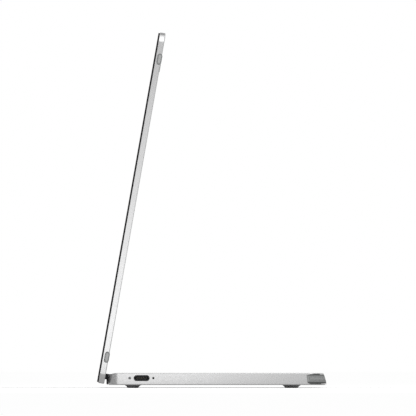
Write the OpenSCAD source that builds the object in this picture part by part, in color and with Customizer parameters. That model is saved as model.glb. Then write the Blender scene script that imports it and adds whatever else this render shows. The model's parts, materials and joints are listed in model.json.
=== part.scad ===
// Portable 14 inch monitor: a thin display lid on a folding base that holds the electronics.
// The screen faces -Y, the base reaches out behind it along +Y, and the table is at Z = 0.
// The origin is the centre of the footprint, on the table. All sizes are in millimetres.

/* [Display lid] */
// Width of the display lid
lid_w = 334; // [320:1:350]
// Height of the display lid along its own plane
lid_h = 206.5; // [204:0.5:212]
// Thickness of the aluminium tray that carries the screen
tray_t = 3.4; // [3.2:0.1:4]
// Thickness of the cover glass in front of it
glass_t = 0.9; // [0.8:0.1:1.2]
// Corner radius of the lid, seen from the front
lid_r = 6; // [5:0.5:10]
// Lean of the lid behind the vertical
lean = 10; // [0:1:15]

/* [Base] */
// Width of the base
base_w = 334; // [320:1:350]
// Depth of the base from its hinge end to its far end
base_d = 126.2; // [124:0.2:134]
// Thickness of the base
base_t = 6.9; // [6.7:0.1:8]
// Height of the rubber feet
foot_h = 1.8; // [1.4:0.1:2.4]
// Corner radius of the base, seen from above
base_r = 6; // [5:0.5:8]

/* [Hinge] */
// Distance of the hinge axis below the top of the base
axis_drop = 3.1; // [3.1:0.05:3.3]
// Distance of the hinge axis behind the hinge end of the base
axis_inset = 1.75; // [1.5:0.05:2]
// Gap between the lid and the base when they are folded together
fold_gap = 0.4; // [0.4:0.05:0.6]
// How far the lid reaches past the hinge axis at its lower edge
lid_overhang = 3.8; // [3.2:0.1:4]
// Radius of the hinge barrel
barrel_r = 2.4; // [2.4:0.05:2.6]

/* [Pads] */
// How far the side pads stand out of the side walls
pad_proud = 0.4; // [0.3:0.1:0.8]

/* [Hidden] */
$fn = 64;
eps = 0.01;
slack = 0.05;

// Heights of the base and of the hinge axis
base_z = foot_h;
base_top = base_z + base_t;
axis_z = base_top - axis_drop;

// Places along Y, measured from the hinge axis
base_front = -axis_inset;
base_back = base_front + base_d;
rear_slant = 1.7;
rear_slant_z = 1.3;

// The lid's rear face stands this far from the axis, so that it folds flat onto the base
rear_offset = axis_drop + fold_gap;
lid_t = tray_t + glass_t;
lid_bottom = -lid_overhang;
lid_top = lid_h - lid_overhang;
glass_inset = 0.45;
glass_edge = 0.2;

// The hinge axis sits where the whole outline, pads included, is centred on the origin
lowest_glass_u = lid_bottom + glass_inset + glass_edge;
outline_front = lowest_glass_u * sin(lean) - (rear_offset + lid_t) * cos(lean);
outline_back = base_back + pad_proud;
axis_y = -(outline_front + outline_back) / 2;

// Walls of the two casings
top_wall = 0.9;
side_wall = 1.4;
plate_t = 0.8;
cavity_front = 4.4;
cavity_back = base_back - 3.6;
cavity_top = base_top - top_wall;
plate_top = base_z + plate_t;
tray_wall = 0.7;
tray_rim = 1.5;

// Hinge line, from the middle outwards. The notch in the base leaves room for the lid's spine.
notch_r = barrel_r + 0.3;
notch_half = 112.3;
knuckle_gap = 0.2;
centre_half = 10;
bracket_in = 92;
bracket_out = 111.9;
shaft_r = 1.2;
bore_r = 1.24;
counterbore_r = 1.85;
counterbore_x = 103;
shaft_in = 62;
arm_r = 1.85;
arm_x0 = 64;
arm_x1 = 90;
arm_half = 0.85;
arm_leaf_y = 10.4;
arm_screw_y = 7.2;
arm_screw_xs = [arm_x0 + 2, arm_x1 - 2];
leaf_half = 0.9;
leaf_x0 = 94;
leaf_x1 = 110;
leaf_back = 24;
bracket_screw_ys = [12, 20];
knuckle_leaf_half = 1.4;
knuckle_leaf_back = 14;
knuckle_screw_x = 6;
knuckle_screw_y = 10.5;
duct_r = 0.95;
hollow_r = 1.35;

// Screws: radii of the shank, of the hole that it turns in, of the clear hole and of the head
screw_r = 0.8;
thread_r = 0.85;
clear_r = 0.95;
head_r = 1.7;

// Connector and controls on the side walls
port_y = base_front + 19.4;
port_z = base_z + 4.0;
port_w = 9.3;
port_h = 3.5;
light_y = base_front + 12.5;
light_r = 0.8;
pinhole_y = base_front + 26.2;
pinhole_r = 0.65;
button_y = 20;
button_w = 8;
button_h = 2.4;
rocker_y = 44;
rocker_w = 22;
rocker_pin_x = 2.1;
rocker_pin_r = 0.5;
rocker_pad_y = 7;
button_proud = 0.2;
button_gap = 0.12;
rocker_gap = 0.2;
plunger_x = 3;

// Main board
board_x0 = 116;
board_x1 = 164.8;
board_y0 = 6;
board_y1 = 78;
board_t = 1.0;
usb_shell_h = 3.26;
board_top = port_z - usb_shell_h / 2;
cable_r = 0.7;
cable_bend = 1.4;
cable_y = 26;
cable_lid_x = -30;
flat_cable_y = 34;
flat_cable_z = 7.3;
switch_board_x = -base_w / 2 + 5.2;

// Screen module inside the lid, as heights above the lid's rear face
module_w = 317;
module_h = 184;
module_y0 = 11.6;
cell_w = 314;
cell_h = 179;
cell_y0 = module_y0 + (module_h - cell_h) / 2;
module_z0 = tray_wall + 0.05;
reflector_z0 = module_z0 + 0.32;
guide_z0 = reflector_z0 + 0.15;
films_z0 = guide_z0 + 0.57;
cell_z0 = films_z0 + 0.37;
driver_z0 = tray_wall + 0.2;
driver_z1 = driver_z0 + 0.6;
plug_cable_z = rear_offset + driver_z1 + 0.72;
ballast_z0 = 3.2;
ballast_z1 = 4.8;

foot_front_y = base_front + 14.5;
foot_rear_y = base_front + 107.8;
foot_length = 170;
foot_top_half = 5.0;
foot_bottom_half = 3.1;

plate_screw_places = [
  [-158, 10], [-158, 66], [-158, 116], [-60, 118], [60, 118], [158, 116], [158, 88],
  [86, 30], [-86, 30], [0, 60]
];
board_screw_places = [[119, 9], [119, 75], [162, 75]];
ballast_screw_places = [
  for (x = [-136, -24, 22, 104], y = [42, 108]) [x, y]
];

// Places of children

module in_base() {
  translate([0, axis_y, 0]) children();
}

module on_axis() {
  translate([0, axis_y, axis_z]) children();
}

// X across the lid, Y up along it from the hinge axis, Z from its rear face to the front
module in_lid() {
  on_axis() rotate([-lean, 0, 0]) translate([0, -rear_offset, 0]) rotate([90, 0, 0]) children();
}

module both_sides() {
  children();
  mirror([1, 0, 0]) children();
}

// Basic shapes

function edge_points(x, h, e0, e1) = concat(
  e0 > 0 ? [[x - e0, 0], [x, e0]] : [[x, 0]],
  e1 > 0 ? [[x, h - e1], [x - e1, h]] : [[x, h]]
);

function across_points(half, h, e0, e1) = let (right = edge_points(half, h, e0, e1)) concat(
  right,
  [for (i = [len(right) - 1:-1:0]) [-right[i][0], right[i][1]]]
);

// A plate with round corners in plan and chamfers e0 at its foot and e1 at its top
module slab(w, d, h, r, e0 = 0, e1 = 0) {
  rotate([90, 0, 90])
    linear_extrude(w - 2 * r, center = true)
      polygon(across_points(d / 2, h, e0, e1));
  rotate([90, 0, 0])
    linear_extrude(d - 2 * r, center = true)
      polygon(across_points(w / 2, h, e0, e1));
  for (sx = [-1, 1], sy = [-1, 1])
    translate([sx * (w / 2 - r), sy * (d / 2 - r), 0])
      rotate_extrude()
        polygon(concat([[0, 0]], edge_points(r, h, e0, e1), [[0, h]]));
}

module block(x0, x1, y0, y1, z0, z1) {
  translate([x0, y0, z0]) cube([x1 - x0, y1 - y0, z1 - z0]);
}

module rod_x(x0, x1, r, sides = $fn) {
  translate([x0, 0, 0]) rotate([0, 90, 0]) cylinder(r = r, h = x1 - x0, $fn = sides);
}

module stadium(w, h) {
  square([w - h, h], center = true);
  for (s = [-1, 1]) translate([s * (w - h) / 2, 0]) circle(d = h);
}

// A stadium bar along X, long side along Y, from x0 to x1
module stadium_bar(x0, x1, w, h) {
  translate([x0, 0, 0]) rotate([90, 0, 90]) linear_extrude(x1 - x0) stadium(w, h);
}

// Base casing

// The outside of the base, with its walls moved outwards by grow
module base_block(grow = 0) {
  difference() {
    translate([0, (base_front + base_back) / 2, base_z])
      slab(base_w + 2 * grow, base_d + 2 * grow, base_t, base_r + grow, 0.5, 0.4);
    translate([0, base_back + grow, base_z + rear_slant_z])
      rotate([atan2(rear_slant, base_t - rear_slant_z), 0, 0])
        block(-base_w, base_w, 0, 20, -eps, 20);
  }
}

// What is cut from the top of the base at its hinge end: a shallow arc that runs into a tight one
module front_top_curve() {
  depth = 5.7;
  big_r = 11.5;
  small_r = 1.2;
  meet = asin((depth - small_r) / (big_r - small_r));
  small_z = (big_r - small_r) * cos(meet) - big_r;
  x = base_w;
  translate([0, base_front, base_top]) {
    difference() {
      block(-x, x, -1, depth, -2, 1);
      translate([0, depth, -big_r]) rod_x(-x - 1, x + 1, big_r, 240);
    }
    difference() {
      block(-x, x, -1, small_r * (1 - sin(meet)), small_z, 1);
      translate([0, small_r, small_z]) rod_x(-x - 1, x + 1, small_r);
    }
  }
}

// Outline of the corner pad seen from the side, measured from the far end and the bottom of the base
module corner_pad_region(sx) {
  reach = 9;
  translate([sx > 0 ? base_w / 2 - reach : -base_w / 2 - reach, base_back, base_z])
    rotate([90, 0, 90])
      linear_extrude(2 * reach)
        polygon([
          [-9.6, base_t - 0.25], [-11.2, base_t - 0.6], [-11.8, base_t - 1.2], [-11.1, 2.3],
          [-10.7, 1.5], [-10, 1], [-8.6, 0.4], [10, 0.25], [10, base_t - 0.2]
        ]);
}

module corner_pad(sx) {
  intersection() {
    difference() {
      base_block(pad_proud);
      base_block(-0.7);
    }
    corner_pad_region(sx);
  }
}

// A post that hangs from the top wall and takes a screw from below
module boss(place, r, z0) {
  h = cavity_top + eps - z0;
  translate([place[0], place[1], z0])
    difference() {
      cylinder(r = r, h = h);
      translate([0, 0, -eps]) cylinder(r = thread_r, h = h - 0.3);
    }
}

// A screw with its head at the bottom
module screw(place, z0, head_t, length) {
  translate([place[0], place[1], z0]) {
    cylinder(r = head_r, h = head_t);
    cylinder(r = screw_r, h = length);
  }
}

// The lugs that hold the rocker's pin, above and below it
module rocker_lugs() {
  for (z = [[-2.6, -1.7], [1.45, 1.95]])
    translate([-base_w / 2, rocker_y, port_z])
      difference() {
        block(side_wall - eps, 3.3, -1.6, 1.6, z[0], z[1]);
        translate([rocker_pin_x, 0, -5]) cylinder(r = rocker_pin_r + slack, h = 10);
      }
}

module base_shell_openings() {
  // socket, status light and reset pinhole on the right
  translate([base_w / 2 - 4, port_y, port_z]) stadium_bar(0, 6, port_w, port_h);
  translate([base_w / 2 - 4, light_y, port_z]) rod_x(0, 6, light_r);
  translate([base_w / 2 - 4, pinhole_y, port_z]) rod_x(0, 6, pinhole_r);
  // windows of the power button and the brightness rocker on the left
  translate([-base_w / 2 - 2, button_y, port_z])
    stadium_bar(0, 6, button_w + 2 * button_gap, button_h + 2 * button_gap);
  translate([-base_w / 2 - 2, rocker_y, port_z])
    stadium_bar(0, 6, rocker_w + 2 * rocker_gap, button_h + 2 * rocker_gap);
}

module base_top_shell() {
  color([0.80, 0.81, 0.82])
    in_base()
      difference() {
        union() {
          difference() {
            base_block();
            front_top_curve();
            // room for the electronics
            block(-base_w / 2 + side_wall, base_w / 2 - side_wall, cavity_front, cavity_back,
                  base_z - 1, cavity_top);
          }
          for (place = plate_screw_places) boss(place, 2.2, plate_top);
          for (place = board_screw_places) boss(place, 1.8, board_top + slack);
          for (place = ballast_screw_places) boss(place, 2.0, ballast_z1 + 0.1);
          both_sides()
            for (y = bracket_screw_ys)
              boss([(leaf_x0 + leaf_x1) / 2, y], 2.0, axis_z + leaf_half + slack);
          both_sides()
            boss([knuckle_screw_x, knuckle_screw_y], 1.8, axis_z + knuckle_leaf_half + slack);
          rocker_lugs();
        }
        translate([0, 0, axis_z]) {
          rod_x(-notch_half, notch_half, notch_r);
          block(-notch_half, notch_half, 0, notch_r, 0, 10);
          both_sides()
            block(leaf_x0 - 0.2, leaf_x1 + 0.2, 2, 5, -leaf_half - slack, leaf_half + slack);
          block(-9.2, 9.2, 2, 5, -knuckle_leaf_half - slack, knuckle_leaf_half + slack);
        }
        base_shell_openings();
        corner_pad(1);
        corner_pad(-1);
      }
}

module base_bottom_plate() {
  gap = 0.1;
  color([0.76, 0.77, 0.78])
    in_base()
      difference() {
        block(-base_w / 2 + side_wall + gap, base_w / 2 - side_wall - gap,
              cavity_front + gap, cavity_back - gap, base_z, plate_top);
        for (place = plate_screw_places)
          translate([place[0], place[1], base_z - eps]) {
            cylinder(r = clear_r, h = 2);
            cylinder(r = head_r + 0.05, h = 0.45 + eps);
          }
      }
}

module bottom_plate_screws() {
  color([0.55, 0.56, 0.58])
    in_base()
      difference() {
        for (place = plate_screw_places) screw(place, base_z + 0.03, 0.4, 4);
        // hexagon sockets in the heads
        for (place = plate_screw_places)
          translate([place[0], place[1], base_z]) cylinder(r = 0.6, h = 0.3, $fn = 6);
      }
}

// Feet: strips whose sides flare out to the base

function flare(z) = foot_bottom_half + (foot_top_half - foot_bottom_half) * pow(z / foot_h, 1.6);

module foot_strip(y) {
  steps = 8;
  edge = 0.25;
  side = concat([[foot_bottom_half - edge, 0]],
                [for (i = [1:steps]) let (z = foot_h * i / steps) [flare(z), z]]);
  mirrored = [for (i = [len(side) - 1:-1:0]) [-side[i][0], side[i][1]]];
  straight = foot_length / 2 - foot_top_half;
  color([0.25, 0.25, 0.26])
    in_base()
      translate([0, y, 0]) {
        rotate([90, 0, 90]) linear_extrude(2 * straight, center = true) polygon(concat(side, mirrored));
        for (s = [-1, 1])
          translate([s * straight, 0, 0])
            rotate_extrude() polygon(concat([[0, 0]], side, [[0, foot_h]]));
      }
}

module front_foot() {
  foot_strip(foot_front_y);
}

module rear_foot() {
  foot_strip(foot_rear_y);
}

module base_corner_pad_right() {
  color([0.52, 0.54, 0.53]) in_base() corner_pad(1);
}

module base_corner_pad_left() {
  color([0.52, 0.54, 0.53]) in_base() corner_pad(-1);
}

// USB-C socket on the right side wall

module at_port() {
  in_base() translate([base_w / 2, port_y, port_z]) children();
}

module usb_c_port_insert() {
  color([0.06, 0.06, 0.07])
    at_port()
      difference() {
        stadium_bar(-1.6, -0.1, port_w - 0.06, port_h - 0.06);
        stadium_bar(-2, 1, 8.44, 2.7);
      }
}

module usb_c_shell() {
  color([0.30, 0.31, 0.33])
    at_port()
      difference() {
        stadium_bar(-9, -1.65, 8.94, usb_shell_h - 0.02);
        stadium_bar(-8.7, -1, 8.36, 2.66);
      }
}

module usb_c_tongue() {
  color([0.08, 0.08, 0.09])
    at_port() {
      block(-8.65, -2.4, -3.34, 3.34, -0.35, 0.35);
      block(-8.65, -5.6, -3.6, 3.6, -0.6, 0.6);
    }
}

module usb_c_contacts() {
  color([0.83, 0.66, 0.32])
    at_port()
      for (i = [0:11], s = [-1, 1])
        translate([-5.55, (i - 5.5) * 0.5 - 0.14, s > 0 ? 0.37 : -0.42])
          cube([2.6, 0.28, 0.05]);
}

module status_light_lens() {
  color([0.62, 0.63, 0.65])
    in_base() translate([base_w / 2, light_y, port_z]) rod_x(-2.2, -0.05, light_r - 0.03);
}

module status_led() {
  color([0.92, 0.92, 0.88])
    in_base()
      translate([base_w / 2 - 3.6, light_y, port_z])
        block(0, 1.1, -0.8, 0.8, board_top - port_z + eps, 0.5);
}

// Main board and what is on it

module main_board() {
  color([0.06, 0.25, 0.16])
    in_base()
      difference() {
        block(board_x0, board_x1, board_y0, board_y1, board_top - board_t, board_top);
        for (place = board_screw_places)
          translate([place[0], place[1], 0]) cylinder(r = clear_r, h = 10);
      }
}

module scaler_chip() {
  color([0.12, 0.12, 0.13])
    in_base() block(128, 141, 44, 57, board_top + eps, board_top + 1.2);
}

module power_chips() {
  color([0.14, 0.14, 0.15])
    in_base() {
      block(146, 151, 30, 35, board_top + eps, board_top + 0.9);
      block(136, 140, 28, 32, board_top + eps, board_top + 0.9);
      block(144, 148, 62, 66, board_top + eps, board_top + 0.9);
      block(129, 137, 61, 66, board_top + eps, board_top + 0.9);
    }
}

module board_coils_and_capacitors() {
  color([0.35, 0.33, 0.30])
    in_base() {
      for (i = [0:2]) block(124, 128, 14 + i * 7, 18 + i * 7, board_top + eps, board_top + 2.4);
      for (i = [0:4])
        block(134 + i * 2.6, 135.6 + i * 2.6, 36.5, 37.4, board_top + eps, board_top + 0.7);
      for (i = [0:3]) block(156, 158.4, 34 + i * 5, 37 + i * 5, board_top + eps, board_top + 1.6);
    }
}

module shield_can() {
  color([0.72, 0.72, 0.70])
    in_base()
      difference() {
        block(124, 153, 40, 70, board_top + eps, board_top + 2.0);
        block(124.2, 152.8, 40.2, 69.8, board_top - 1, board_top + 1.8);
      }
}

module thermal_pad() {
  color([0.60, 0.66, 0.72])
    in_base() block(129, 140, 45, 56, board_top + 1.22, board_top + 1.78);
}

module display_connector() {
  color([0.90, 0.88, 0.80])
    in_base()
      block(board_x0 + 0.6, board_x0 + 4.6, cable_y - 5, cable_y + 5,
            board_top + eps, board_top + 2.6);
}

module button_connector() {
  color([0.90, 0.88, 0.80])
    in_base()
      block(board_x0 + 0.6, board_x0 + 3.6, flat_cable_y - 2, flat_cable_y + 2,
            board_top + eps, flat_cable_z);
}

module board_screws() {
  color([0.55, 0.56, 0.58])
    in_base() for (place = board_screw_places) screw(place, board_top - board_t - 0.4, 0.38, 3.2);
}

// Hinge, base side

// Side outline of a fixed knuckle: the barrel with a chin that covers the front of the base.
// Seen along X, with Y to the right and Z up.
module knuckle_outline() {
  chin_front = -2.7;
  chin_bottom = 0.25 - axis_z + base_z;
  chin_r = 0.5;
  hull() {
    circle(r = barrel_r);
    translate([chin_front + barrel_r, 0]) circle(r = barrel_r);
  }
  intersection() {
    hull() {
      translate([chin_front + barrel_r, 0]) circle(r = barrel_r);
      translate([chin_front + chin_r, chin_bottom + chin_r]) circle(r = chin_r);
      translate([0, chin_bottom + chin_r]) circle(r = chin_r);
    }
    translate([-5, -5]) square([5 + base_front - 0.1, 5]);
  }
}

module knuckle_bar(x0, x1) {
  translate([x0, 0, 0]) rotate([90, 0, 90]) linear_extrude(x1 - x0) knuckle_outline();
}

module bracket_barrel() {
  difference() {
    knuckle_bar(bracket_in + knuckle_gap, bracket_out);
    rod_x(bracket_in - 1, bracket_out + 1, bore_r);
    rod_x(counterbore_x, bracket_out + 1, counterbore_r);
  }
}

module hinge_bracket() {
  bracket_barrel();
  difference() {
    block(leaf_x0, leaf_x1, 2.4, leaf_back, -leaf_half, leaf_half);
    for (y = bracket_screw_ys) translate([(leaf_x0 + leaf_x1) / 2, y, -2]) cylinder(r = clear_r, h = 4);
  }
}

module hinge_bracket_right() {
  color([0.24, 0.25, 0.26]) on_axis() hinge_bracket();
}

module hinge_bracket_left() {
  color([0.24, 0.25, 0.26]) on_axis() mirror([1, 0, 0]) hinge_bracket();
}

module hinge_bracket_screws() {
  color([0.55, 0.56, 0.58])
    on_axis()
      both_sides()
        for (y = bracket_screw_ys) screw([(leaf_x0 + leaf_x1) / 2, y], -leaf_half - 0.72, 0.7, 3.2);
}

// Hollow knuckle in the middle of the hinge line, through which the display cable passes
module cable_knuckle() {
  color([0.24, 0.25, 0.26])
    on_axis()
      difference() {
        union() {
          knuckle_bar(-centre_half + knuckle_gap, centre_half - knuckle_gap);
          block(-9, 9, 2.2, knuckle_leaf_back, -knuckle_leaf_half, knuckle_leaf_half);
        }
        rod_x(-centre_half - 1, duct_r, hollow_r);
        rotate([-90, 0, 0]) cylinder(r = duct_r, h = 20);
        both_sides() translate([knuckle_screw_x, knuckle_screw_y, -2]) cylinder(r = clear_r, h = 4);
      }
}

module cable_knuckle_screws() {
  color([0.55, 0.56, 0.58])
    on_axis()
      both_sides()
        screw([knuckle_screw_x, knuckle_screw_y], -knuckle_leaf_half - 0.52, 0.5, 3.8);
}

// A straight run of the display cable, and a quarter bend of it
module cable_run(length) {
  cylinder(r = cable_r, h = length);
}

module cable_quarter() {
  rotate_extrude(angle = 90) translate([cable_bend, 0]) circle(r = cable_r);
}

module display_cable_base() {
  start_x = board_x0 + 0.6;
  color([0.10, 0.10, 0.11])
    on_axis() {
      // from the board's connector to the middle
      translate([start_x, cable_y, 0]) rotate([0, -90, 0]) cable_run(start_x - cable_bend);
      translate([cable_bend, cable_y - cable_bend, 0]) rotate([0, 0, 90]) cable_quarter();
      // forward to the hinge line
      translate([0, cable_bend, 0]) rotate([-90, 0, 0]) cable_run(cable_y - 2 * cable_bend);
      translate([-cable_bend, cable_bend, 0]) rotate([0, 0, -90]) cable_quarter();
      // along the axis to the edge of the knuckle
      translate([-cable_bend, 0, 0]) rotate([0, -90, 0]) cable_run(centre_half - cable_bend);
    }
}

// Ballast, which keeps the base down under the lid

module ballast(x0, x1) {
  difference() {
    block(x0, x1, 37, 113, ballast_z0, ballast_z1);
    for (place = ballast_screw_places) translate([place[0], place[1], 0]) cylinder(r = clear_r, h = 10);
  }
}

module ballast_plate_right() {
  color([0.45, 0.46, 0.48]) in_base() ballast(16, 110);
}

module ballast_plate_left() {
  color([0.45, 0.46, 0.48]) in_base() ballast(-142, -18);
}

module ballast_screws() {
  color([0.55, 0.56, 0.58])
    in_base() for (place = ballast_screw_places) screw(place, ballast_z0 - 0.45, 0.43, 3.6);
}

// Controls on the left side wall. X runs inwards from the outside of the wall.

module button_board() {
  color([0.06, 0.25, 0.16])
    in_base() block(switch_board_x, switch_board_x + 0.8, 12, 60, 2.9, flat_cable_z + 0.2);
}

module button_switches() {
  body_x = plunger_x + 0.5;
  color([0.85, 0.85, 0.83])
    in_base()
      for (y = [button_y, rocker_y - rocker_pad_y, rocker_y + rocker_pad_y])
        translate([-base_w / 2, y, port_z]) {
          block(body_x, 5.18, -2, 2, -1.2, 1.2);
          rod_x(plunger_x, body_x, 0.7);
        }
}

module button_cable() {
  color([0.88, 0.88, 0.86])
    in_base()
      block(switch_board_x + 0.8, board_x0 + 3, flat_cable_y - 1.2, flat_cable_y + 1.2,
            flat_cable_z, flat_cable_z + 0.12);
}

module power_button() {
  color([0.70, 0.71, 0.72])
    in_base()
      translate([-base_w / 2, button_y, port_z]) {
        stadium_bar(-button_proud, 1.6, button_w, button_h);
        stadium_bar(1.6, 2.2, button_w + 0.9, button_h + 0.9);
        rod_x(2.2, 2.6, 0.9);
      }
}

module brightness_rocker() {
  color([0.70, 0.71, 0.72])
    in_base()
      translate([-base_w / 2, rocker_y, port_z]) {
        stadium_bar(-button_proud, rocker_pin_x, rocker_w, button_h);
        for (s = [-1, 1]) translate([0, s * rocker_pad_y, 0]) rod_x(rocker_pin_x, 2.75, 0.9);
        translate([rocker_pin_x, 0, -2.3]) cylinder(r = rocker_pin_r, h = 4);
      }
}

// Lid casing

module lid_pad_places() {
  for (u = [lid_bottom + 15.5, lid_top - 15.5]) translate([0, u, 0]) children();
}

module lid_pad(grow = 0) {
  translate([lid_w / 2 - 0.8, 0, 1.1])
    stadium_bar(0, 0.8 + pad_proud, 6.4 + 2 * grow, 2.8 + 2 * grow);
}

module lid_back_tray() {
  color([0.80, 0.81, 0.82])
    in_lid()
      difference() {
        union() {
          difference() {
            translate([0, (lid_bottom + lid_top) / 2, 0]) slab(lid_w, lid_h, tray_t, lid_r, 0.4, 0.15);
            // room for the screen
            tray_room(tray_rim + 4, tray_rim);
            tray_room(tray_rim, tray_rim + 4);
          }
          both_sides() for (x = arm_screw_xs) boss_on_tray([x, arm_screw_y]);
        }
        // slots for the hinge arms and the cable
        both_sides() arm_slot();
        translate([cable_lid_x - cable_bend, 0, -1]) cylinder(r = duct_r, h = 3);
        both_sides() lid_pad_places() lid_pad(0.05);
      }
}

module tray_room(side_rim, end_rim) {
  block(-lid_w / 2 + side_rim, lid_w / 2 - side_rim, lid_bottom + end_rim, lid_top - end_rim,
        tray_wall, tray_t + 1);
}

module boss_on_tray(place) {
  translate([place[0], place[1], tray_wall - eps])
    difference() {
      cylinder(r = 1.7, h = 0.6);
      translate([0, 0, 0.1]) cylinder(r = thread_r, h = 2);
    }
}

// The way of a hinge arm through the rear wall of the lid and through the spine
module arm_slot() {
  gap = 0.05;
  block(arm_x0 - gap, arm_x1 + gap, -arm_half - gap, arm_half + gap, -rear_offset, 1);
}

module cover_glass() {
  color([0.03, 0.03, 0.035])
    in_lid()
      translate([0, (lid_bottom + lid_top) / 2, tray_t])
        slab(lid_w - 2 * glass_inset, lid_h - 2 * glass_inset, glass_t, lid_r - glass_inset,
             0, glass_edge);
}

// Screen module: cell, films, light guide and their frame

module screen_sheet(w, h, y0, z0, z1) {
  block(-w / 2, w / 2, y0, y0 + h, z0, z1);
}

module lcd_cell() {
  color([0.08, 0.08, 0.10]) in_lid() screen_sheet(cell_w, cell_h, cell_y0, cell_z0, tray_t - 0.02);
}

module diffuser_films() {
  color([0.95, 0.95, 0.95])
    in_lid() screen_sheet(cell_w - 0.6, cell_h - 0.6, cell_y0 + 0.3, films_z0, cell_z0 - 0.02);
}

module light_guide_plate() {
  color([0.86, 0.93, 0.95])
    in_lid() screen_sheet(cell_w - 0.6, cell_h - 2.6, cell_y0 + 2.3, guide_z0, films_z0 - 0.02);
}

module reflector_sheet() {
  color([0.97, 0.97, 0.97])
    in_lid() screen_sheet(cell_w - 0.6, cell_h - 0.6, cell_y0 + 0.3, reflector_z0, guide_z0 - 0.02);
}

module panel_back_plate() {
  color([0.66, 0.67, 0.68])
    in_lid() screen_sheet(module_w, module_h, module_y0, module_z0, reflector_z0 - 0.02);
}

module panel_frame() {
  color([0.16, 0.16, 0.17])
    in_lid()
      difference() {
        screen_sheet(module_w, module_h, module_y0, reflector_z0, tray_t - 0.04);
        screen_sheet(cell_w + 0.1, cell_h + 0.1, cell_y0 - 0.05, 0, tray_t + 1);
      }
}

module backlight_led_bar() {
  leds = 44;
  pitch = 7;
  color([0.93, 0.90, 0.70])
    in_lid() {
      block(-156, 156, cell_y0 + 0.35, cell_y0 + 0.6, guide_z0, films_z0 - 0.02);
      for (i = [0:leds - 1])
        translate([(i - (leds - 1) / 2) * pitch, 0, guide_z0])
          block(-1.5, 1.5, cell_y0 + 0.6 - eps, cell_y0 + 2.25, 0.05, 0.5);
    }
}

module panel_driver_board() {
  color([0.06, 0.25, 0.16]) in_lid() block(-56, 56, 1.2, 11.2, driver_z0, driver_z1);
}

module panel_driver_chips() {
  color([0.12, 0.12, 0.13])
    in_lid()
      translate([0, 0, driver_z1 + eps]) {
        block(-14, -4, 3, 9, 0, 0.9);
        block(10, 16, 3.5, 8.5, 0, 0.9);
        for (i = [0:4]) block(26 + i * 4, 28.4 + i * 4, 4, 7.6, 0, 0.8);
      }
}

module lid_pads_right() {
  color([0.60, 0.61, 0.61]) in_lid() lid_pad_places() lid_pad();
}

module lid_pads_left() {
  color([0.60, 0.61, 0.61]) in_lid() mirror([1, 0, 0]) lid_pad_places() lid_pad();
}

// Hinge, lid side. Here the axis lies at Z = -rear_offset of the lid's own frame.

module at_spine() {
  in_lid() translate([0, 0, -rear_offset]) children();
}

module hinge_spine() {
  difference() {
    union() {
      rod_x(centre_half, bracket_in - knuckle_gap, barrel_r);
      block(centre_half + 2, bracket_in - 2, -1.1, 2.2, 0.9, rear_offset - 0.02);
    }
    rod_x(centre_half - 1, shaft_in - 0.5, hollow_r);
    rod_x(shaft_in - 1, bracket_in + 1, arm_r + slack);
    translate([0, 0, rear_offset]) arm_slot();
  }
}

module hinge_spine_right() {
  color([0.17, 0.175, 0.18]) at_spine() hinge_spine();
}

module hinge_spine_left() {
  color([0.17, 0.175, 0.18])
    at_spine()
      difference() {
        mirror([1, 0, 0]) hinge_spine();
        translate([cable_lid_x - cable_bend, 0, 0]) cylinder(r = duct_r, h = 5);
      }
}

module hinge_shaft() {
  rod_x(shaft_in, 109.6, shaft_r);
}

module hinge_shaft_right() {
  color([0.62, 0.63, 0.65]) at_spine() hinge_shaft();
}

module hinge_shaft_left() {
  color([0.62, 0.63, 0.65]) at_spine() mirror([1, 0, 0]) hinge_shaft();
}

module hinge_arm() {
  top = rear_offset + tray_wall + 1.4;
  difference() {
    union() {
      rod_x(shaft_in, bracket_in - 1, arm_r);
      block(arm_x0, arm_x1, -arm_half, arm_half, 1.2, top);
      block(arm_x0, arm_x1, -arm_half, arm_leaf_y, top - 0.78, top);
    }
    rod_x(shaft_in - 1, bracket_in, shaft_r + 0.01);
    for (x = arm_screw_xs) translate([x, arm_screw_y, 0]) cylinder(r = clear_r, h = 10);
  }
}

module hinge_arm_right() {
  color([0.55, 0.56, 0.58]) at_spine() hinge_arm();
}

module hinge_arm_left() {
  color([0.55, 0.56, 0.58]) at_spine() mirror([1, 0, 0]) hinge_arm();
}

module hinge_arm_screws() {
  color([0.62, 0.63, 0.65])
    in_lid()
      both_sides()
        for (x = arm_screw_xs)
          translate([x, arm_screw_y, tray_wall + 0.12]) {
            cylinder(r = screw_r, h = 1.6);
            translate([0, 0, 1.3]) cylinder(r = 1.5, h = 0.4);
          }
}

module hinge_disc_springs() {
  color([0.72, 0.70, 0.66])
    at_spine()
      both_sides()
        for (i = [0:5])
          translate([counterbore_x + 0.1 + i * 0.62, 0, 0])
            difference() {
              rod_x(0, 0.5, counterbore_r - 0.15);
              rod_x(-1, 1, shaft_r + 0.05);
            }
}

module hinge_nuts() {
  color([0.60, 0.60, 0.62])
    at_spine()
      both_sides()
        difference() {
          rod_x(counterbore_x + 4.2, counterbore_x + 6.4, counterbore_r - 0.1);
          rod_x(counterbore_x, counterbore_x + 8, shaft_r + 0.01);
        }
}

module display_cable_lid() {
  color([0.10, 0.10, 0.11])
    at_spine() {
      // along the axis, away from the middle
      translate([-centre_half - 0.1, 0, 0]) rotate([0, -90, 0])
        cable_run(-cable_lid_x - centre_half - 0.1);
      // forward into the lid, then up to the driver board
      translate([cable_lid_x, 0, cable_bend]) rotate([90, 180, 0]) cable_quarter();
      translate([cable_lid_x - cable_bend, 0, cable_bend]) cable_run(plug_cable_z - 2 * cable_bend);
      translate([cable_lid_x - cable_bend, cable_bend, plug_cable_z - cable_bend])
        rotate([90, 0, -90]) cable_quarter();
    }
}

module lid_cable_plug() {
  color([0.90, 0.88, 0.80])
    in_lid()
      translate([cable_lid_x - cable_bend, cable_bend, driver_z1 + 0.02]) block(-4, 4, 0, 2.8, 0, 1.4);
}

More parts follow.
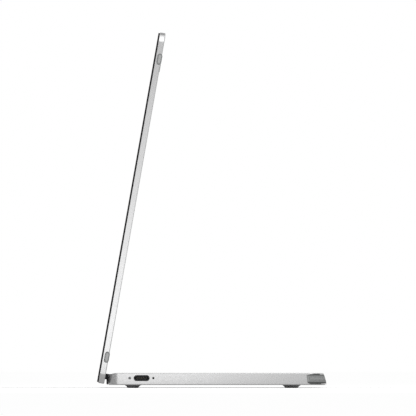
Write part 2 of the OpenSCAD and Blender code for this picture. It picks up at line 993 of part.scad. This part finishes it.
base_top_shell();
base_bottom_plate();
bottom_plate_screws();
front_foot();
rear_foot();
base_corner_pad_right();
base_corner_pad_left();
usb_c_port_insert();
usb_c_shell();
usb_c_tongue();
usb_c_contacts();
status_light_lens();
status_led();
main_board();
scaler_chip();
power_chips();
board_coils_and_capacitors();
shield_can();
thermal_pad();
display_connector();
button_connector();
board_screws();
hinge_bracket_right();
hinge_bracket_left();
hinge_bracket_screws();
cable_knuckle();
cable_knuckle_screws();
display_cable_base();
ballast_plate_right();
ballast_plate_left();
ballast_screws();
button_board();
button_switches();
button_cable();
power_button();
brightness_rocker();
lid_back_tray();
cover_glass();
lcd_cell();
diffuser_films();
light_guide_plate();
reflector_sheet();
panel_back_plate();
panel_frame();
backlight_led_bar();
panel_driver_board();
panel_driver_chips();
lid_pads_right();
lid_pads_left();
hinge_spine_right();
hinge_spine_left();
hinge_shaft_right();
hinge_shaft_left();
hinge_arm_right();
hinge_arm_left();
hinge_arm_screws();
hinge_disc_springs();
hinge_nuts();
display_cable_lid();
lid_cable_plug();
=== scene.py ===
"""Looks of the portable monitor: materials, detailed outer pieces, floor, lights and camera."""
import json
import math

import bmesh
import bpy
from mathutils import Matrix, Vector


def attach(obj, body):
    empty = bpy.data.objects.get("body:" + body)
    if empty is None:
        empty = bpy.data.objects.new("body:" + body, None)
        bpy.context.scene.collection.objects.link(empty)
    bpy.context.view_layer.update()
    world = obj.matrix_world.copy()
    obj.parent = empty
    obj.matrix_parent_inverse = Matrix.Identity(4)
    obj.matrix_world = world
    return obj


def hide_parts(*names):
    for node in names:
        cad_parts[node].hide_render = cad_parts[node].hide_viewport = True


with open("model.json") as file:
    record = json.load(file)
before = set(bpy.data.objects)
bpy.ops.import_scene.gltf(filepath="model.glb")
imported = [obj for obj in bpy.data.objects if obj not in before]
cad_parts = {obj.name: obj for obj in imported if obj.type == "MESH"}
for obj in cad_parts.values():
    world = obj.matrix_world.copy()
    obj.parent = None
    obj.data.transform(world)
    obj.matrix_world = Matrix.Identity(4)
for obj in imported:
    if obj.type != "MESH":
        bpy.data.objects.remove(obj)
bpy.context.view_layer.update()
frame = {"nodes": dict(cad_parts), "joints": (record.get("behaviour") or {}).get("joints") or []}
nodes = frame["nodes"]

MM = 0.001

# Places that repeat the CAD's own values, in millimetres unless said
HINGE = Vector(next(j["pos_m"] for j in frame["joints"] if j["name"] == "lid_hinge"))
LEAN = math.radians(10)
REAR_OFFSET = 3.5
LID_W, LID_H, TRAY_T, GLASS_T, LID_R = 334, 206.5, 3.4, 0.9, 6
LID_BOTTOM = -3.8
LID_TOP = LID_BOTTOM + LID_H
GLASS_INSET = 0.45
BASE_W, BASE_D, BASE_Z = 334, 126.2, 1.8
BASE_FRONT = -1.75
BASE_BACK = BASE_FRONT + BASE_D

# From the lid's own frame (across, up along it, rear face to front) to the scene
LID = (
    Matrix.Translation(HINGE)
    @ Matrix.Rotation(-LEAN, 4, "X")
    @ Matrix.Translation((0, -REAR_OFFSET * MM, 0))
    @ Matrix.Rotation(math.pi / 2, 4, "X")
)
BASE = Matrix.Translation((0, HINGE.y, 0))


# Materials

class Finish:
    """A node material that varies its colour, roughness and bump with noise."""

    def __init__(self, name, color, metallic=0.0, rough=0.5, specular=0.5):
        self.material = bpy.data.materials.new(name)
        self.material.use_nodes = True
        self.tree = self.material.node_tree
        self.shader = self.tree.nodes["Principled BSDF"]
        self.color = color
        self.rough = rough
        self.set("Metallic", metallic)
        self.set("Specular IOR Level", specular)
        self.place = self.add("ShaderNodeTexCoord").outputs["Object"]
        self.height = None

    def add(self, kind, **values):
        node = self.tree.nodes.new(kind)
        for key, value in values.items():
            setattr(node, key, value)
        return node

    def link(self, out, into):
        self.tree.links.new(out, into)

    def set(self, socket, value):
        self.shader.inputs[socket].default_value = value

    def stretch(self, scale):
        """Coordinates stretched by a scale along each axis."""
        mapping = self.add("ShaderNodeMapping")
        mapping.inputs["Scale"].default_value = scale
        self.link(self.place, mapping.inputs["Vector"])
        return mapping.outputs["Vector"]

    def noise(self, scale, detail=3.0, rough=0.5, place=None):
        node = self.add("ShaderNodeTexNoise")
        node.inputs["Scale"].default_value = scale
        node.inputs["Detail"].default_value = detail
        node.inputs["Roughness"].default_value = rough
        self.link(place or self.place, node.inputs["Vector"])
        return node.outputs["Fac"]

    def spread(self, fac, low, high, start=0.3, end=0.7):
        """Remaps a value to low..high."""
        node = self.add("ShaderNodeMapRange")
        node.inputs["From Min"].default_value = start
        node.inputs["From Max"].default_value = end
        node.inputs["To Min"].default_value = low
        node.inputs["To Max"].default_value = high
        self.link(fac, node.inputs["Value"])
        return node.outputs["Result"]

    def vary_color(self, fac, low, high):
        """Colour between two shades of the material's own colour."""
        node = self.add("ShaderNodeMix", data_type="RGBA")
        node.inputs["A"].default_value = (*[c * low for c in self.color], 1)
        node.inputs["B"].default_value = (*[min(1, c * high) for c in self.color], 1)
        self.link(self.spread(fac, 0, 1), node.inputs["Factor"])
        self.link(node.outputs["Result"], self.shader.inputs["Base Color"])

    def vary_rough(self, fac, spread):
        self.link(self.spread(fac, self.rough - spread, self.rough + spread),
                  self.shader.inputs["Roughness"])

    def bump(self, fac, distance, strength=1.0):
        node = self.add("ShaderNodeBump")
        node.inputs["Distance"].default_value = distance
        node.inputs["Strength"].default_value = strength
        self.link(fac, node.inputs["Height"])
        if self.height is not None:
            self.link(self.height, node.inputs["Normal"])
        self.height = node.outputs["Normal"]
        self.link(self.height, self.shader.inputs["Normal"])


def blasted_metal(name, color, rough, grain=4000, depth=0.000012):
    """Bead-blasted, anodised aluminium: fine even grain and faint wide shade."""
    f = Finish(name, color, 1.0, rough)
    fine = f.noise(grain, 2)
    wide = f.noise(22, 3)
    f.vary_color(wide, 0.97, 1.03)
    f.vary_rough(f.noise(900, 4), 0.03)
    f.bump(fine, depth, 0.06)
    return f.material


def brushed_metal(name, color, rough, along):
    """Sheet or turned metal with fine lines along one axis."""
    f = Finish(name, color, 1.0, rough)
    lines = f.noise(1, 3, place=f.stretch(along))
    f.vary_color(lines, 0.9, 1.08)
    f.vary_rough(lines, 0.07)
    f.bump(lines, 0.00001, 0.4)
    return f.material


def moulded(name, color, rough, grain=3000, depth=0.00003, shade=0.08, specular=0.5):
    """Moulded plastic or rubber with a fine spark-eroded grain."""
    f = Finish(name, color, 0.0, rough, specular)
    f.vary_color(f.noise(160, 4), 1 - shade, 1 + shade)
    f.vary_rough(f.noise(700, 3), 0.05)
    f.bump(f.noise(grain, 3, 0.6), depth, 0.5)
    return f.material


def board_laminate(name):
    """Green solder mask with the faint relief of its tracks and the glass cloth under it."""
    f = Finish(name, (0.02, 0.13, 0.07), 0.0, 0.32)
    tracks = f.add("ShaderNodeTexBrick")
    tracks.inputs["Scale"].default_value = 260
    tracks.inputs["Mortar Size"].default_value = 0.03
    tracks.inputs["Color1"].default_value = (0.018, 0.12, 0.06, 1)
    tracks.inputs["Color2"].default_value = (0.024, 0.15, 0.08, 1)
    tracks.inputs["Mortar"].default_value = (0.05, 0.24, 0.13, 1)
    f.link(f.place, tracks.inputs["Vector"])
    f.link(tracks.outputs["Color"], f.shader.inputs["Base Color"])
    f.vary_rough(f.noise(500, 3), 0.05)
    f.bump(tracks.outputs["Fac"], 0.00002, 0.5)
    return f.material


def screen_glass(name, color, rough):
    """Polished cover glass, with the faintest smudges in its gloss."""
    f = Finish(name, color, 0.0, rough)
    smudge = f.noise(14, 5, 0.65)
    f.vary_color(f.noise(6, 2), 0.94, 1.06)
    f.link(f.spread(smudge, rough, rough + 0.035, 0.45, 0.75), f.shader.inputs["Roughness"])
    f.bump(f.noise(60, 1), 0.000004, 0.15)
    return f.material


# The CAD's own materials give up their names to the ones made here
for imported in list(bpy.data.materials):
    imported.name += " imported"

SILVER = (0.64, 0.64, 0.642)

MATERIALS = {
    "anodised_casing": blasted_metal("anodised_casing", SILVER, 0.28),
    "key_aluminium": blasted_metal("key_aluminium", (0.60, 0.605, 0.61), 0.32, 8000),
    "screw_steel": brushed_metal("screw_steel", (0.42, 0.42, 0.43), 0.34, (6000, 6000, 400)),
    "foot_rubber": moulded("foot_rubber", (0.42, 0.42, 0.423), 0.72, 2600, 0.00005, 0.12, 0.35),
    "pad_rubber": moulded("pad_rubber", (0.36, 0.366, 0.364), 0.6, 2600, 0.00004, 0.06, 0.4),
    "black_plastic": moulded("black_plastic", (0.012, 0.012, 0.013), 0.45),
    "white_plastic": moulded("white_plastic", (0.78, 0.76, 0.70), 0.4, 2500, 0.00002, 0.04),
    "chip_plastic": moulded("chip_plastic", (0.022, 0.022, 0.024), 0.5, 5000, 0.00003),
    "circuit_board": board_laminate("circuit_board"),
    "socket_steel": brushed_metal("socket_steel", (0.07, 0.072, 0.075), 0.35, (60, 7000, 7000)),
    "shield_steel": brushed_metal("shield_steel", (0.62, 0.62, 0.60), 0.28, (50, 5000, 5000)),
    "contact_gold": brushed_metal("contact_gold", (0.34, 0.28, 0.17), 0.3, (60, 9000, 9000)),
    "light_lens": moulded("light_lens", (0.12, 0.12, 0.125), 0.25, 1500, 0.00001, 0.05),
    "soft_pad": moulded("soft_pad", (0.33, 0.40, 0.50), 0.65, 1500, 0.00006, 0.08),
    "hinge_steel": brushed_metal("hinge_steel", (0.055, 0.056, 0.06), 0.38, (400, 5000, 5000)),
    "hinge_black": moulded("hinge_black", (0.012, 0.012, 0.0125), 0.5, 2400, 0.00003, 0.1, 0.4),
    "shaft_steel": brushed_metal("shaft_steel", (0.52, 0.53, 0.55), 0.25, (7000, 300, 300)),
    "cable_jacket": moulded("cable_jacket", (0.012, 0.012, 0.013), 0.5, 2200, 0.00004),
    "ballast_steel": brushed_metal("ballast_steel", (0.30, 0.31, 0.33), 0.4, (60, 3000, 3000)),
    "black_glass": screen_glass("black_glass", (0.0035, 0.0035, 0.004), 0.05),
    "screen_cell": screen_glass("screen_cell", (0.006, 0.0065, 0.009), 0.10),
    "glass_edge": moulded("glass_edge", (0.006, 0.006, 0.0065), 0.6, 2400, 0.00002, 0.1, 0.12),
    "corner_pad_face": moulded("corner_pad_face", (0.265, 0.272, 0.27), 0.6, 2600, 0.00004, 0.06, 0.4),
    # painted shade: darker copy of the corner pad rubber for the pads' tops, bottoms, the panel's
    # border and its groove
    "corner_pad_rim": moulded("corner_pad_rim", (0.085, 0.088, 0.087), 0.65, 2600, 0.00004, 0.08, 0.3),
    # painted shade: darker copy of the pad rubber for the lid pads' rims, standing in for the shade in
    # the gap round them
    "pad_rim": moulded("pad_rim", (0.19, 0.195, 0.194), 0.6, 2600, 0.00004, 0.06, 0.4),
    "film": moulded("film", (0.85, 0.85, 0.85), 0.3, 900, 0.00001, 0.02),
    "panel_aluminium": brushed_metal("panel_aluminium", (0.56, 0.57, 0.58), 0.3, (50, 4000, 4000)),
}


def dress_cad_nodes():
    """Gives every CAD node its finish by the material slot that it came with."""
    for node in nodes.values():
        for slot in node.material_slots:
            slot.material = MATERIALS[slot.material.name.split(" ")[0]]


dress_cad_nodes()


# Rounded edges on the CAD casings

EDGE_ANGLE = 28
EDGE_SEGMENTS = 3


def soften(name, width):
    """Rounds a CAD node's edges with modifiers, which leave its own mesh as it is."""
    node = nodes[name]
    node.data.shade_smooth()
    weld = node.modifiers.new("weld", "WELD")
    weld.merge_threshold = 1e-6
    flat = node.modifiers.new("flat", "DECIMATE")
    flat.decimate_type = "DISSOLVE"
    flat.angle_limit = math.radians(0.6)
    bevel = node.modifiers.new("bevel", "BEVEL")
    bevel.width = width * MM
    bevel.segments = EDGE_SEGMENTS
    bevel.limit_method = "ANGLE"
    bevel.angle_limit = math.radians(EDGE_ANGLE)
    bevel.harden_normals = False
    normal = node.modifiers.new("normal", "WEIGHTED_NORMAL")
    normal.mode = "FACE_AREA"
    normal.weight = 60
    normal.keep_sharp = False


for name, width in {
    "base_top_shell": 0.12,
    "base_bottom_plate": 0.08,
    "lid_back_tray": 0.12,
    "front_foot": 0.12,
    "rear_foot": 0.12,
    "power_button": 0.12,
    "brightness_rocker": 0.12,
    "hinge_spine_right": 0.08,
    "hinge_spine_left": 0.08,
    "hinge_bracket_right": 0.06,
    "hinge_bracket_left": 0.06,
    "cable_knuckle": 0.06,
    "usb_c_tongue": 0.06,
}.items():
    soften(name, width)


# Pieces made here, in the lid's own frame: x across, u up along it, w from its rear face to its front

CORNER_STEPS = 10
END_STEPS = 14


def rounded(width, low, high, radius):
    """Points of a rounded rectangle, all round, as (x, u)."""
    points = []
    x, arc = width / 2 - radius, math.pi / 2
    for sx, u, turn in ((x, high - radius, 0), (-x, high - radius, 1),
                        (-x, low + radius, 2), (x, low + radius, 3)):
        for k in range(CORNER_STEPS + 1):
            a = (turn + k / CORNER_STEPS) * arc
            points.append((sx + radius * math.cos(a), u + radius * math.sin(a)))
    return points


def stadium(length, width):
    """Points of a bar with round ends, as (u, w) about its centre."""
    points = []
    for end in (1, -1):
        for k in range(END_STEPS + 1):
            a = (k / END_STEPS - 0.5) * math.pi + (math.pi if end < 0 else 0)
            points.append((end * (length - width) / 2 + width / 2 * math.cos(a),
                           width / 2 * math.sin(a)))
    return points


def finished_piece(shape, name, finishes, sharp_angle, place=None):
    """A new object from a bmesh, which it uses up, with its finishes in slot order."""
    mesh = bpy.data.meshes.new(name)
    shape.to_mesh(mesh)
    shape.free()
    if place is not None:
        mesh.transform(place)
    for finish in finishes:
        mesh.materials.append(MATERIALS[finish])
    mesh.shade_smooth()
    mesh.set_sharp_from_angle(angle=math.radians(sharp_angle))
    piece = bpy.data.objects.new(name, mesh)
    bpy.context.scene.collection.objects.link(piece)
    return piece


def loft(solids, name, stands_for):
    """Closed solids on the lid through rings of points in mm. Each ring comes with the finish of
    the strip that leads to it. The first and last rings' finishes are also those of the caps."""
    shape = bmesh.new()
    finishes = []

    def number(finish):
        if finish not in finishes:
            finishes.append(finish)
        return finishes.index(finish)

    for rings in solids:
        loops = [[shape.verts.new(Vector(p) * MM) for p in ring] for ring, finish in rings]
        count = len(loops[0])
        for (low, high), (ring, finish) in zip(zip(loops, loops[1:]), rings[1:]):
            for k in range(count):
                n = (k + 1) % count
                face = shape.faces.new((low[k], low[n], high[n], high[k]))
                face.material_index = number(finish)
        shape.faces.new(loops[0][::-1]).material_index = number(rings[0][1])
        shape.faces.new(loops[-1]).material_index = number(rings[-1][1])
    bmesh.ops.recalc_face_normals(shape, faces=shape.faces)
    piece = finished_piece(shape, name, finishes, 35, LID)
    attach(piece, "lid")
    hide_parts(stands_for)


SCREEN_W, SCREEN_LOW, SCREEN_HIGH, SCREEN_R = 309.4, 16.6, 190.6, 0.4
SCREEN_SHARE = 0.9995  # of the picture's width that the inner face takes
GLASS_EDGE = 0.2
EDGE_RINGS = 4


def make_glass():
    """Cover glass: matt black edge, printed black border, and the picture area under it."""
    width, low, high = LID_W - 2 * GLASS_INSET, LID_BOTTOM + GLASS_INSET, LID_TOP - GLASS_INSET
    radius, edge, front = LID_R - GLASS_INSET, GLASS_EDGE, TRAY_T + GLASS_T

    def ring(inset, w):
        return [(x, u, w) for x, u in
                rounded(width - 2 * inset, low + inset, high - inset, radius - inset)]

    rings = [(ring(0, TRAY_T), "glass_edge"), (ring(0, front - edge), "glass_edge")]
    for k in range(1, EDGE_RINGS + 1):
        a = k / EDGE_RINGS * math.pi / 2
        rings.append((ring(edge * (1 - math.cos(a)), front - edge + edge * math.sin(a)),
                      "glass_edge" if k < 3 else "black_glass"))
    picture = [(x, u, front) for x, u in rounded(SCREEN_W, SCREEN_LOW, SCREEN_HIGH, SCREEN_R)]
    rings.append((picture, "black_glass"))
    rings.append(([(x * SCREEN_SHARE, u, w) for x, u, w in picture], "screen_cell"))
    loft([rings], "front_glass", "cover_glass")


PAD_LENGTH, PAD_WIDTH, PAD_W, PAD_PROUD, PAD_FROM_END = 6.4, 2.8, 1.1, 0.4, 15.5
# Rings of a lid pad: distance in from its outline, and height over the lid's side wall
PAD_RIM_STEPS = ((0, -0.8), (0, PAD_PROUD - 0.15), (0.05, PAD_PROUD - 0.04), (0.17, PAD_PROUD),
                 (0.42, PAD_PROUD), (0.5, PAD_PROUD - 0.06), (0.54, PAD_PROUD - 0.22))
PAD_FACE_STEPS = ((0.62, PAD_PROUD - 0.2), (0.9, PAD_PROUD - 0.14), (1.2, PAD_PROUD - 0.11))


def make_lid_pads(side, name, stands_for):
    """Soft buffers in the lid's side wall, each with a raised rim round a face; the rim's darker rubber
    is painted shade.
    """
    solids = []
    for middle in (LID_BOTTOM + PAD_FROM_END, LID_TOP - PAD_FROM_END):
        def ring(inset, out):
            return [(side * (LID_W / 2 + out), middle + u, PAD_W + w)
                    for u, w in stadium(PAD_LENGTH - 2 * inset, PAD_WIDTH - 2 * inset)]

        solids.append([(ring(inset, out), finish)
                       for steps, finish in ((PAD_RIM_STEPS, "pad_rim"), (PAD_FACE_STEPS, "pad_rubber"))
                       for inset, out in steps])
    loft(solids, name, stands_for)


# Corner pads: lines on them are in mm, from the base's far end and its bottom

# Bare metal shows above a rising line, before a slanted one, and in two notches at the far end
METAL_START, RISE_FROM, RISE = -11.2, 5.75, 0.202
METAL_TOP, SLANT = 5.9, 0.121
HIGH_NOTCH, LOW_NOTCH, LOW_NOTCH_TOP = -3.4, -2.6, 1.0
METAL_CUTS = (((METAL_START, RISE_FROM), (-6.5, 6.7)), ((METAL_START, METAL_TOP), (-10.85, 3.0)),
              ((-20, METAL_TOP), (0, METAL_TOP)), ((-20, LOW_NOTCH_TOP), (0, LOW_NOTCH_TOP)),
              ((HIGH_NOTCH, 0), (HIGH_NOTCH, 6)), ((LOW_NOTCH, 0), (LOW_NOTCH, 6)))
PANEL_LOW, PANEL_HIGH, PANEL_START, PANEL_END = 1.75, 5.6, -10.1, BASE_W / 2 - 9
PANEL_RUN = 30  # height in which the panel's front border leans by one
PANEL_RISE = 0.1
PANEL_EDGE, GROOVE_START, GROOVE_END = 0.2, 0.85, 1.05
# Height of the raised panel by the distance from its border, with a groove round its middle
PANEL_STEPS = ((0, 0), (PANEL_EDGE, PANEL_RISE), (GROOVE_START, PANEL_RISE), (0.95, 0.03),
               (GROOVE_END, PANEL_RISE))


def panel_margin(place):
    """Distance of a point from the panel's border, inwards."""
    return min(place.z - PANEL_LOW, PANEL_HIGH - place.z,
               place.y - PANEL_START + place.z / PANEL_RUN, abs(place.x) - PANEL_END)


def panel_height(margin):
    """Height of the panel's surface at a distance from its border."""
    for (m0, h0), (m1, h1) in zip(PANEL_STEPS, PANEL_STEPS[1:]):
        if margin < m1:
            return h0 + (h1 - h0) * max(0, margin - m0) / (m1 - m0)
    return PANEL_STEPS[-1][1]


def pad_finish(place, facing_out):
    """Finish of a corner pad's face by its middle: bare metal where it shows, else the lighter face, or
    darker rubber as painted shade on faces that don't face out and on the panel's border and groove.
    """
    y, z, margin = place.y, place.z, panel_margin(place)
    over = z > RISE_FROM + (y - METAL_START) * RISE or y < METAL_START + (METAL_TOP - z) * SLANT
    if over or (y > HIGH_NOTCH and z > METAL_TOP) or (y > LOW_NOTCH and z < LOW_NOTCH_TOP):
        return "anodised_casing"
    beside = y < PANEL_START + 0.1 and PANEL_LOW < z < PANEL_HIGH
    if facing_out and (beside or PANEL_EDGE < margin < GROOVE_START or margin > GROOVE_END):
        return "corner_pad_face"
    return "corner_pad_rim"


def make_corner_pad(side, name, stands_for):
    """Soft bumper round the base's corner, with a raised panel; its border, groove, top and bottom get
    darker rubber as painted shade.
    """
    shape = bmesh.new()
    shape.from_mesh(nodes[stands_for].data)
    bmesh.ops.remove_doubles(shape, verts=shape.verts, dist=1e-6)
    bmesh.ops.dissolve_limit(shape, angle_limit=math.radians(0.5), verts=shape.verts,
                             edges=shape.edges)
    corner = BASE @ Vector((0, BASE_BACK * MM, BASE_Z * MM))
    cuts = [(Vector((0, y0, z0)), (0, z1 - z0, y0 - y1)) for (y0, z0), (y1, z1) in METAL_CUTS]
    for m, _ in PANEL_STEPS:
        cuts += [(Vector((0, 0, PANEL_LOW + m)), (0, 0, 1)),
                 (Vector((0, 0, PANEL_HIGH - m)), (0, 0, 1)),
                 (Vector((0, PANEL_START + m, 0)), (0, 1, 1 / PANEL_RUN)),
                 (Vector((side * (PANEL_END + m), 0, 0)), (1, 0, 0))]
    for point, across in cuts:
        bmesh.ops.bisect_plane(shape, geom=shape.verts[:] + shape.edges[:] + shape.faces[:],
                               dist=1e-7, plane_co=corner + point * MM, plane_no=across)
    finishes = ["corner_pad_rim", "corner_pad_face", "anodised_casing"]
    shape.normal_update()
    raised = {}
    for face in shape.faces:
        place = (face.calc_center_median() - corner) / MM
        facing_out = max(face.normal.x * side, face.normal.y) > 0.3
        face.material_index = finishes.index(pad_finish(place, facing_out))
        if facing_out and panel_margin(place) > 0:
            for vert in face.verts:
                raised.setdefault(vert, Vector())
                raised[vert] += face.normal * face.calc_area()
    for vert, across in raised.items():
        vert.co += across.normalized() * panel_height(panel_margin((vert.co - corner) / MM)) * MM
    piece = finished_piece(shape, name, finishes, 30)
    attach(piece, "base")
    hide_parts(stands_for)


make_corner_pad(1, "corner_bumper_right", "base_corner_pad_right")
make_corner_pad(-1, "corner_bumper_left", "base_corner_pad_left")
make_glass()
make_lid_pads(1, "lid_buffers_right", "lid_pads_right")
make_lid_pads(-1, "lid_buffers_left", "lid_pads_left")


# Floor, world and lights

FLOOR_SIZE = 30
FLOOR_SHADE = 0.95
FLOOR_LIFT = 0.18
WORLD_LIGHT = 0.85


def seen_fac(tree, strength):
    """The strength where a camera, glossy or transmission ray looks, else 0."""
    path = tree.nodes.new("ShaderNodeLightPath")
    total = None
    for output in ("Is Camera Ray", "Is Glossy Ray", "Is Transmission Ray"):
        if total is None:
            total = path.outputs[output]
            continue
        join = tree.nodes.new("ShaderNodeMath")
        join.operation = "MAXIMUM"
        tree.links.new(total, join.inputs[0])
        tree.links.new(path.outputs[output], join.inputs[1])
        total = join.outputs[0]
    scaled = tree.nodes.new("ShaderNodeMath")
    scaled.operation = "MULTIPLY"
    tree.links.new(total, scaled.inputs[0])
    scaled.inputs[1].default_value = strength
    return scaled.outputs[0]


def stage_plane(name, corners):
    """A four-cornered sheet of the set, with an empty node material."""
    mesh = bpy.data.meshes.new(name)
    mesh.from_pydata(corners, [], [(0, 1, 2, 3)])
    plane = bpy.data.objects.new(name, mesh)
    bpy.context.scene.collection.objects.link(plane)
    material = bpy.data.materials.new(name)
    material.use_nodes = True
    mesh.materials.append(material)
    return plane, material.node_tree


def make_floor():
    """White floor that takes the object's shadow."""
    size = FLOOR_SIZE
    _, tree = stage_plane("floor", [(-size, -size, 0), (size, -size, 0),
                                    (size, size, 0), (-size, size, 0)])
    shader = tree.nodes["Principled BSDF"]
    shader.inputs["Base Color"].default_value = (FLOOR_SHADE, FLOOR_SHADE, FLOOR_SHADE, 1)
    shader.inputs["Roughness"].default_value = 0.9
    shader.inputs["Specular IOR Level"].default_value = 0.0
    shader.inputs["Emission Color"].default_value = (1, 1, 1, 1)
    tree.links.new(seen_fac(tree, FLOOR_LIFT), shader.inputs["Emission Strength"])
    # clear from below, so that the object's underside can be looked at
    clear = tree.nodes.new("ShaderNodeBsdfTransparent")
    side = tree.nodes.new("ShaderNodeMixShader")
    tree.links.new(tree.nodes.new("ShaderNodeNewGeometry").outputs["Backfacing"], side.inputs[0])
    tree.links.new(shader.outputs[0], side.inputs[1])
    tree.links.new(clear.outputs[0], side.inputs[2])
    tree.links.new(side.outputs[0], tree.nodes["Material Output"].inputs["Surface"])


def make_world():
    """Even white light, which looks fully white where it is seen."""
    world = bpy.data.worlds.new("studio")
    bpy.context.scene.world = world
    world.use_nodes = True
    tree = world.node_tree
    background = tree.nodes["Background"]
    background.inputs["Color"].default_value = (1, 1, 1, 1)
    lift = tree.nodes.new("ShaderNodeMath")
    lift.operation = "ADD"
    tree.links.new(seen_fac(tree, 1 - WORLD_LIGHT), lift.inputs[0])
    lift.inputs[1].default_value = WORLD_LIGHT
    tree.links.new(lift.outputs[0], background.inputs["Strength"])


def area_lamp(name, place, target, width, height, power):
    """A rectangular lamp that faces its target."""
    data = bpy.data.lights.new(name, "AREA")
    data.shape = "RECTANGLE"
    data.size, data.size_y = width, height
    data.energy = power
    lamp = bpy.data.objects.new(name, data)
    bpy.context.scene.collection.objects.link(lamp)
    lamp.location = place
    lamp.rotation_mode = "QUATERNION"
    lamp.rotation_quaternion = (Vector(target) - Vector(place)).to_track_quat("-Z", "Y")
    lamp.visible_camera = False


def card(name, corners, shade, far_shade=None, heart=None, reach=None):
    """A card beside the set that only shiny surfaces see. Its brightness goes from shade at the
    heart to far_shade at the reach; reach may differ along each axis."""
    plane, tree = stage_plane(name, corners)
    tree.nodes.remove(tree.nodes["Principled BSDF"])
    glow = tree.nodes.new("ShaderNodeEmission")
    glow.inputs["Strength"].default_value = shade
    tree.links.new(glow.outputs[0], tree.nodes["Material Output"].inputs["Surface"])
    if far_shade is not None:
        place = tree.nodes.new("ShaderNodeTexCoord")
        mapping = tree.nodes.new("ShaderNodeMapping")
        mapping.inputs["Scale"].default_value = [1 / r for r in reach]
        mapping.inputs["Location"].default_value = [-h / r for h, r in zip(heart, reach)]
        away = tree.nodes.new("ShaderNodeVectorMath")
        away.operation = "LENGTH"
        fade = tree.nodes.new("ShaderNodeMapRange")
        fade.inputs["To Min"].default_value = shade
        fade.inputs["To Max"].default_value = far_shade
        tree.links.new(place.outputs["Object"], mapping.inputs["Vector"])
        tree.links.new(mapping.outputs["Vector"], away.inputs[0])
        tree.links.new(away.outputs["Value"], fade.inputs["Value"])
        tree.links.new(fade.outputs["Result"], glow.inputs["Strength"])
    for kind in ("camera", "diffuse", "transmission", "volume_scatter", "shadow"):
        setattr(plane, "visible_" + kind, False)


def wall_card(name, start, end, low, high, *shades):
    """An upright card from one floor place to another, between two heights."""
    card(name, [(*start, low), (*end, low), (*end, high), (*start, high)], *shades)


def flat_card(name, x0, x1, y0, y1, z, *shades):
    """A level card, on the floor or overhead."""
    card(name, [(x0, y0, z), (x1, y0, z), (x1, y1, z), (x0, y1, z)], *shades)


make_floor()
make_world()
area_lamp("corner_softbox", (0.85, -0.16, 0.12), (0.167, -0.05, 0.03), 0.30, 0.30, 0.3)
area_lamp("top_softbox", (1.1, -0.2, 1.2), (0.1, 0, 0.1), 0.8, 0.5, 3)

# Cards, in metres: the side card stands before the near side wall, and the others close the set
CARD_X, CARD_FRONT, CARD_REAR = 0.667, -0.24, 1.0
CORNER = (0.35, -0.65)
GAP, SIDE_TOP, FRONT_TOP, CEILING = 0.0005, 0.33, 1.2, 2.0
HIGH_REAR = 0.7
wall_card("card_side", (CARD_X, CARD_FRONT), (CARD_X, CARD_REAR), GAP, SIDE_TOP,
          1.85, 0.58, (CARD_X, -0.08, 0.04), (1, 0.16, 0.19))
wall_card("card_side_high", (CARD_X, CARD_FRONT), (CARD_X, HIGH_REAR), SIDE_TOP, CEILING, 1.7)
wall_card("card_corner", (CARD_X, CARD_FRONT), CORNER, GAP, FRONT_TOP, 0.30)
wall_card("card_front", CORNER, (-0.8, -0.8), GAP, FRONT_TOP,
          0.9, 0.25, (-0.45, -0.75, 0.7), (0.9, 1, 0.7))
wall_card("card_behind", (-1.4, -0.4), (-1.4, 0.4), 0.6, CEILING, 0.45)
wall_card("card_rear", (0.9, 0.9), (-0.4, 0.9), GAP, 0.9, 0.55)
flat_card("card_above", 0.0, CARD_X, CARD_FRONT, HIGH_REAR, CEILING, 1.3)
flat_card("card_above_front", -1.0, CARD_X, -2.0, CARD_FRONT, CEILING, 0.3)
flat_card("card_ceiling", -1.4, 0.0, -0.4, 0.4, CEILING, 0.37)
# Floor cards are painted shadow: darker sheets that shiny surfaces see where the floor lies in the
# object's shadow
# Those on the floor reach at most 12 mm under the base, so that its underside keeps one tone
flat_card("card_floor_corner", 0.160, 0.30, -0.20, -0.058, 0.0008, 0.5)
flat_card("card_floor_lid", 0.05, 0.160, -0.08, -0.0575, 0.0009, 0.12)
flat_card("card_floor_edge", 0.155, 0.175, -0.058, 0.08, 0.0009, 0.45)
# the side floor card is a bright reflector away from the base, with painted shade darkening it towards
# the base
flat_card("card_floor_side", 0.155, CARD_X, CARD_FRONT, CARD_REAR, GAP,
          2.7, 0.66, (0.467, -0.08, 0), (0.30, 0.2, 1))


# Camera

PIXEL = 0.58 * MM
FRAME_PIXELS = 416
NEAR_PLANE = LID_W / 2 * MM
FRAME_CENTRE = Vector((NEAR_PLANE, HINGE.y + 56.144 * MM, 104.458 * MM))
CAMERA_ASIDE, CAMERA_HEIGHT = 4.9 * MM, 13 * MM
SENSOR = 36.0
LENS = 1700.0


def make_camera():
    """A long lens near the floor, a little in front of the hinge."""
    distance = PIXEL * FRAME_PIXELS * LENS / SENSOR
    data = bpy.data.cameras.new("camera")
    data.lens, data.sensor_width = LENS, SENSOR
    data.clip_start, data.clip_end = 0.5, 60
    camera = bpy.data.objects.new("camera", data)
    bpy.context.scene.collection.objects.link(camera)
    camera.location = (NEAR_PLANE + distance, HINGE.y - CAMERA_ASIDE, CAMERA_HEIGHT)
    camera.rotation_mode = "QUATERNION"
    camera.rotation_quaternion = (FRAME_CENTRE - camera.location).to_track_quat("-Z", "Y")
    bpy.context.scene.camera = camera


make_camera()
bpy.context.scene.view_settings.view_transform = "Standard"
